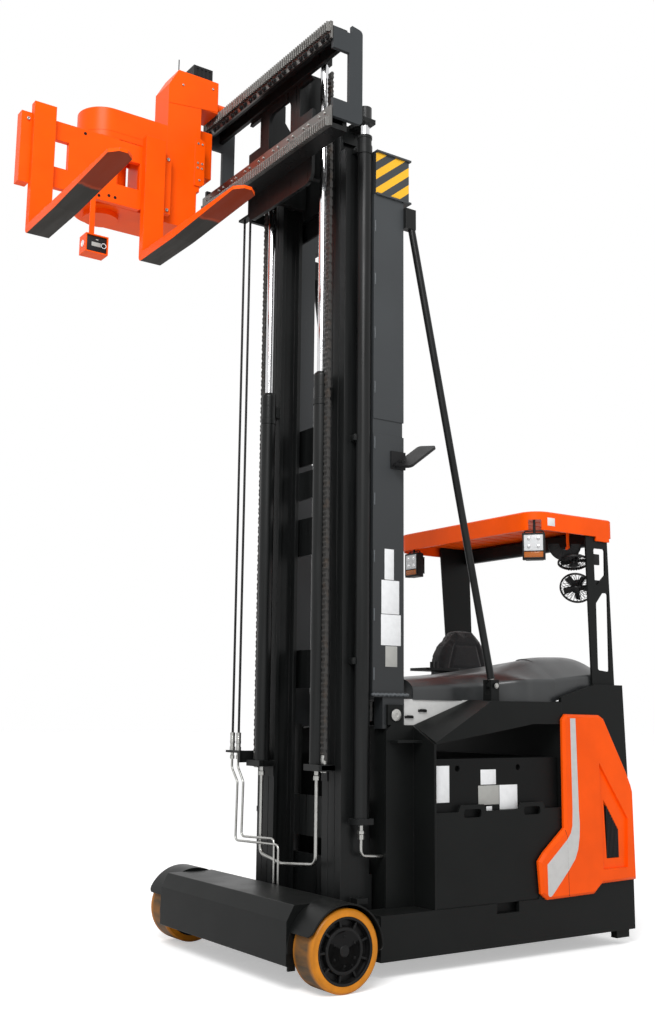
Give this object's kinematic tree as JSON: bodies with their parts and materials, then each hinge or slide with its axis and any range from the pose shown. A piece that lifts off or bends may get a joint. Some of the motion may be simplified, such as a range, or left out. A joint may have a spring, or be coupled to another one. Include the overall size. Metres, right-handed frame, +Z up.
{
  "type": "very narrow aisle forklift",
  "caption": "Electric very narrow aisle forklift with a three-stage mast, a side-shifting swivel fork head and a low cab for a seated driver.",
  "frame": {"origin": "on the floor under the middle of the truck's overall box", "axes": "+X towards the load wheels and forks, +Y to the truck's left side, +Z up"},
  "size_m": [3.181, 1.53, 4.801],
  "materials": {
    "frame_paint": "satin dark grey paint",
    "mast_paint": "semi-gloss black paint",
    "box_paint": "satin grey paint",
    "orange_paint": "glossy orange paint",
    "battery_case": "matt dark grey paint",
    "cover_plastic": "semi-gloss black",
    "black_plastic": "matt black",
    "tyre": "amber polyurethane",
    "drive_tyre": "black polyurethane",
    "hub_paint": "black paint",
    "bare_steel": "worn bare steel",
    "chrome": "hard chrome",
    "chain_steel": "oiled steel",
    "seat_cloth": "black woven cloth",
    "hose_rubber": "black rubber",
    "pipe_steel": "zinc-plated pipe"
  },
  "bodies": {
    "chassis": {"chassis_frame": "frame_paint", "guide_brackets": "frame_paint", "front_beam": "frame_paint", "front_fenders": "frame_paint", "battery": "battery_case", "battery_covers": "frame_paint", "mast_support_posts": "frame_paint", "side_beams": "frame_paint", "rear_body": "frame_paint", "hood": "cover_plastic", "cowl": "cover_plastic", "side_covers": "orange_paint", "cover_vents": "black_plastic", "roof": "orange_paint", "rear_pillars": "frame_paint", "roof_rear_beam": "frame_paint", "seat_frame": "black_plastic", "seat_cushion": "seat_cloth", "seat_backrest": "seat_cloth", "driver_controls": "black_plastic", "work_lamps": "black_plastic", "cab_fans": "black_plastic", "outer_mast": "mast_paint", "mast_side_boxes": "box_paint", "mast_struts": "mast_paint", "mast_mirror": "black_plastic", "main_lift_tubes": "mast_paint", "hoses": "hose_rubber", "steel_pipes": "pipe_steel"},
    "wheel_left": {"tyre_left": "tyre", "hub_left": "hub_paint"},
    "wheel_right": {"tyre_right": "tyre", "hub_right": "hub_paint"},
    "drive_steer": {"drive_unit": "frame_paint"},
    "drive_wheel": {"drive_wheel": "drive_tyre"},
    "middle_mast": {"middle_mast": "mast_paint", "main_lift_rods": "chrome"},
    "inner_mast": {"inner_mast": "mast_paint", "free_lift_tubes": "mast_paint", "lift_chains": "chain_steel", "free_lift_pipe": "pipe_steel"},
    "free_lift": {"free_lift_rods": "chrome", "chain_pulleys": "mast_paint"},
    "carriage": {"carriage_frame": "mast_paint", "carriage_plate": "mast_paint", "traverse_beams": "mast_paint", "racks": "bare_steel", "traverse_end_plates": "box_paint", "energy_chain": "black_plastic"},
    "head": {"head_column": "orange_paint", "head_top_box": "black_plastic", "swivel_arm": "orange_paint"},
    "forks": {"swivel_drum": "orange_paint", "fork_carriage": "orange_paint", "forks": "orange_paint", "sensor_box": "orange_paint"}
  },
  "joints": [
    {"name": "wheel_left_spin", "type": "hinge", "parent": "chassis", "child": "wheel_left", "pos_m": [0.3655, 0.683, 0.175], "axis": [0, 1, 0], "continuous": true},
    {"name": "wheel_right_spin", "type": "hinge", "parent": "chassis", "child": "wheel_right", "pos_m": [0.3655, -0.683, 0.175], "axis": [0, 1, 0], "continuous": true},
    {"name": "drive_steering", "type": "hinge", "parent": "chassis", "child": "drive_steer", "pos_m": [-1.3345, 0, 0.203], "axis": [0, 0, 1], "range_deg": [-90, 90]},
    {"name": "drive_spin", "type": "hinge", "parent": "drive_steer", "child": "drive_wheel", "pos_m": [-1.3345, 0, 0.203], "axis": [0, 1, 0], "continuous": true},
    {"name": "mast_lift", "type": "slide", "parent": "chassis", "child": "middle_mast", "axis": [0, 0, 1], "range_m": [-0.06, 2.54]},
    {"name": "inner_lift", "type": "slide", "parent": "middle_mast", "child": "inner_mast", "axis": [0, 0, 1], "range_m": [-0.06, 2.54]},
    {"name": "carriage_lift", "type": "slide", "parent": "inner_mast", "child": "carriage", "axis": [0, 0, 1], "range_m": [-3.24, 0]},
    {"name": "free_lift", "type": "slide", "parent": "inner_mast", "child": "free_lift", "axis": [0, 0, 1], "range_m": [-1.62, 0], "deforming": ["lift_chains"]},
    {"name": "head_traverse", "type": "slide", "parent": "carriage", "child": "head", "axis": [0, 1, 0], "range_m": [0, 1.19]},
    {"name": "fork_swivel", "type": "hinge", "parent": "head", "child": "forks", "pos_m": [1.0585, -0.596, 4], "axis": [0, 0, 1], "range_deg": [-180, 0]}
  ],
  "couplings": [
    {"joint": "inner_lift", "follows": "mast_lift", "ratio": 1},
    {"joint": "free_lift", "follows": "carriage_lift", "ratio": 0.5}
  ]
}
